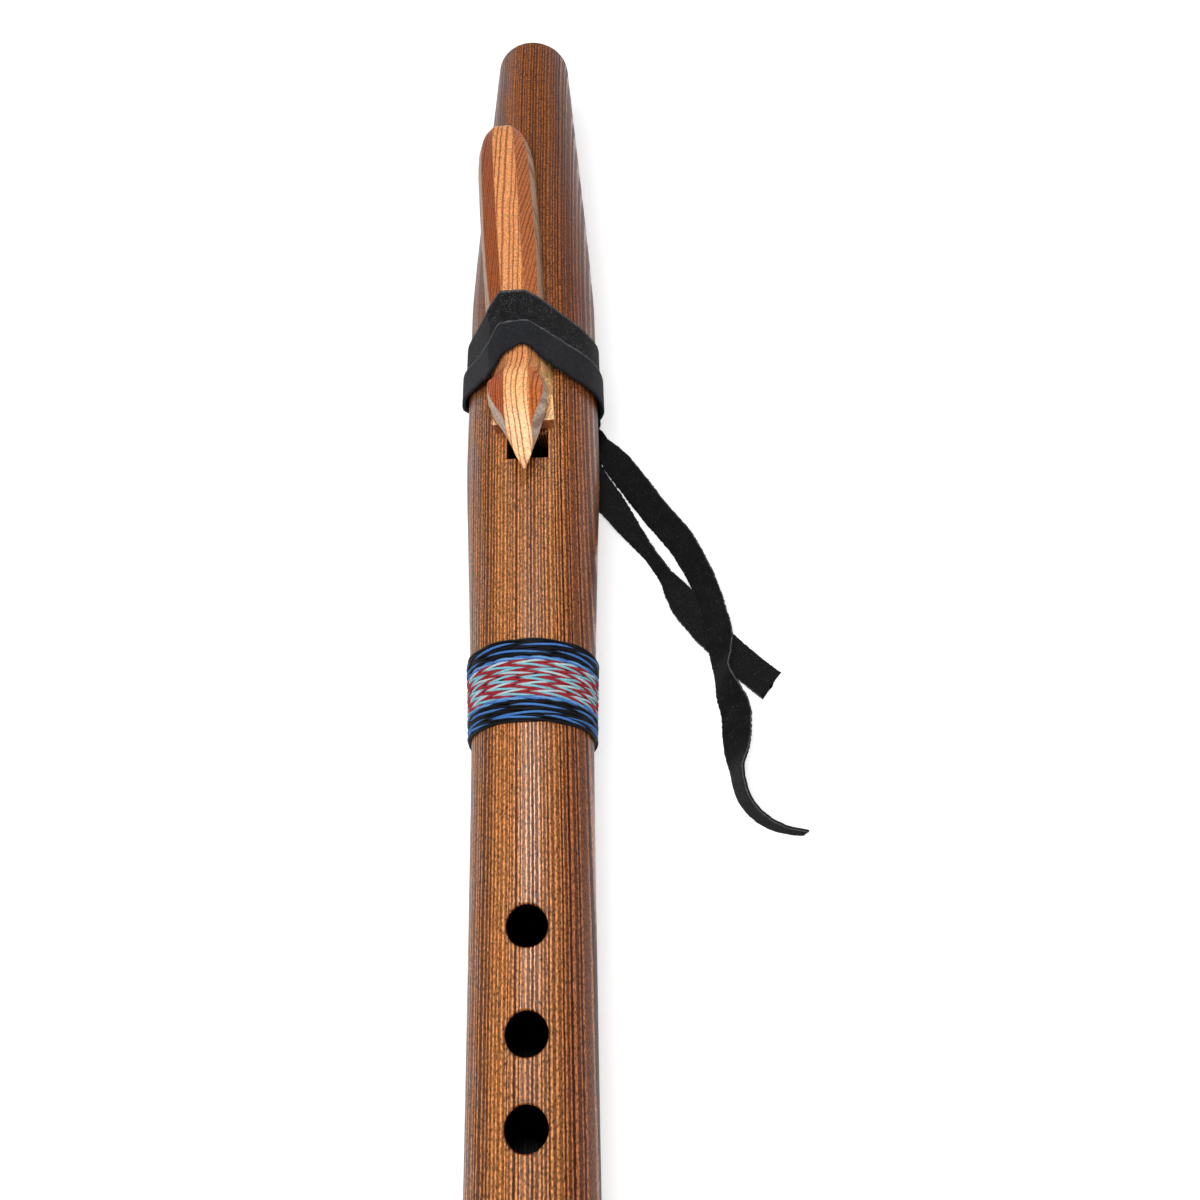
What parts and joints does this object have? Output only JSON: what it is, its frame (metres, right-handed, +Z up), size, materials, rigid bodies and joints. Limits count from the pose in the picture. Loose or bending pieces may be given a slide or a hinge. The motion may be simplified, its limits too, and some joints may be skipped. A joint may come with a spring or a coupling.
{
  "type": "native american flute",
  "caption": "Wooden two-chamber flute with a bird-shaped block tied over the air channel, finger holes, a thread winding and loose leather lace ends.",
  "frame": {"origin": "under the middle of the flute's length, straight below the bore's axis, on the plane of the tie's pressed underside", "axes": "+Y along the bore's axis from the foot to the mouth end, +Z up through the finger holes and the block, +X to the right seen from the foot"},
  "size_m": [0.0957, 0.51, 0.0533],
  "materials": {
    "cedar": "satin",
    "orange_cedar": "satin",
    "black_leather": "suede",
    "blue_thread": "twisted thread",
    "red_thread": "twisted thread"
  },
  "bodies": {
    "flute": {"body_upper_half": "cedar", "body_lower_half": "cedar", "thread_stripe_lower": "blue_thread", "thread_stripe_middle": "red_thread", "thread_stripe_upper": "blue_thread"},
    "block": {"bird_block": "orange_cedar", "tie_lace": "black_leather", "tie_knot": "black_leather", "lace_end_long": "black_leather", "lace_end_short": "black_leather"}
  },
  "joints": [
    {"name": "block_slide", "type": "slide", "parent": "flute", "child": "block", "axis": [0, 1, 0], "range_m": [-0.003, 0.003]}
  ]
}
